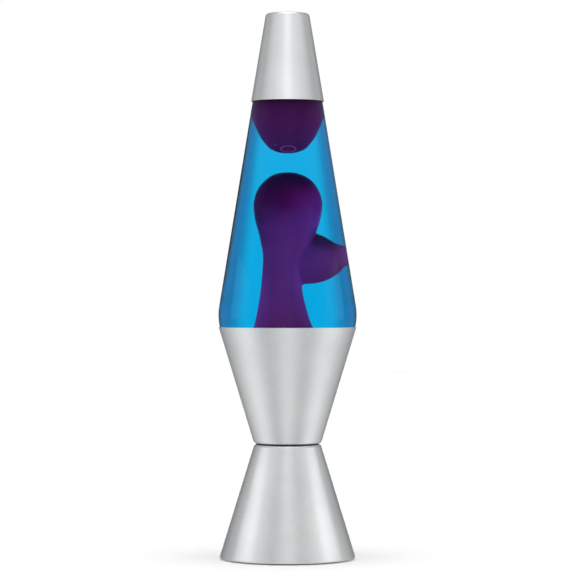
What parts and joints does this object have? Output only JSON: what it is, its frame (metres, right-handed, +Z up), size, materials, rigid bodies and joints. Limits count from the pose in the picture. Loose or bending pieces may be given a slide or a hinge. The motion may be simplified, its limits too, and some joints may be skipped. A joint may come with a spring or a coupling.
{
  "type": "lava lamp",
  "caption": "Wax-motion desk lamp: a tapered glass globe of blue liquid and purple wax on a waisted metal base, with a loose conical cap.",
  "frame": {"origin": "on the desk, midway between the four feet, on the lamp's own axis", "axes": "+Z up along the lamp's axis; +Y towards the back, where the cord comes in; +X to the right"},
  "size_m": [0.0933, 0.0936, 0.3683],
  "materials": {
    "spun_aluminium": "spun and bead-blasted, clear lacquer, satin",
    "black_fibre": "vulcanised fibre ring, matt",
    "zinc_steel": "bright zinc plate",
    "plated_strap": "zinc-plated pressed steel",
    "moulded_plastic": "injection moulded, fine texture",
    "black_rubber": "moulded, matt",
    "brass": "pressed and turned, bright",
    "porcelain": "glazed white porcelain",
    "black_wire": "PVC insulation",
    "white_wire": "PVC insulation",
    "nylon": "natural nylon",
    "bottle_glass": "blown, clear",
    "blue_liquid": "clear dyed water",
    "purple_wax": "translucent molten wax",
    "spring_steel": "drawn stainless spring wire",
    "tinplate": "lacquered tinplate",
    "white_liner": "moulded sealing liner",
    "solder": "soldered contact",
    "bulb_brass": "rolled thread, lightly tarnished",
    "black_vitrite": "fused black glass",
    "bulb_glass": "clear blown glass",
    "stem_glass": "pressed lead glass",
    "nickel_wire": "drawn nickel-iron wire",
    "tungsten": "coiled tungsten"
  },
  "bodies": {
    "base": {"foot_shell": "spun_aluminium", "cup_shell": "spun_aluminium", "waist_ring": "black_fibre", "waist_screws": "zinc_steel", "waist_nuts": "zinc_steel", "bottom_cover": "moulded_plastic", "rubber_feet": "black_rubber", "cord_grommet": "black_rubber", "socket_bracket": "plated_strap", "socket_nipple": "brass", "nipple_washer": "zinc_steel", "nipple_nut": "brass", "socket_body": "porcelain", "socket_screw_shell": "brass", "socket_centre_contact": "brass", "contact_rivet": "brass", "live_lead": "black_wire", "neutral_lead": "white_wire", "crimp_connectors": "nylon"},
    "globe": {"globe_glass": "bottle_glass", "liquid": "blue_liquid", "wax_column": "purple_wax", "wax_dome": "purple_wax", "heat_coil": "spring_steel", "crown_cap": "tinplate", "crown_liner": "white_liner"},
    "cap": {"top_cap": "spun_aluminium"},
    "bulb_lift": {"bulb_contact_tip": "solder"},
    "bulb": {"bulb_screw_shell": "bulb_brass", "bulb_insulator": "black_vitrite", "bulb_glass": "bulb_glass", "bulb_stem": "stem_glass", "bulb_lead_wires": "nickel_wire", "bulb_filament": "tungsten"}
  },
  "joints": [
    {"name": "globe_lift", "type": "slide", "parent": "base", "child": "globe", "axis": [0, 0, 1], "range_m": [0, 0.06]},
    {"name": "cap_lift", "type": "slide", "parent": "globe", "child": "cap", "axis": [0, 0, 1], "range_m": [0, 0.06]},
    {"name": "bulb_rise", "type": "slide", "parent": "base", "child": "bulb_lift", "axis": [0, 0, 1], "range_m": [0, 0.0085]},
    {"name": "bulb_turn", "type": "hinge", "parent": "bulb_lift", "child": "bulb", "pos_m": [0, 0, 0.08], "axis": [0, 0, 1], "range_deg": [0, 1080]}
  ],
  "couplings": [
    {"joint": "bulb_rise", "follows": "bulb_turn", "m_per_rad": 0.00044913}
  ]
}
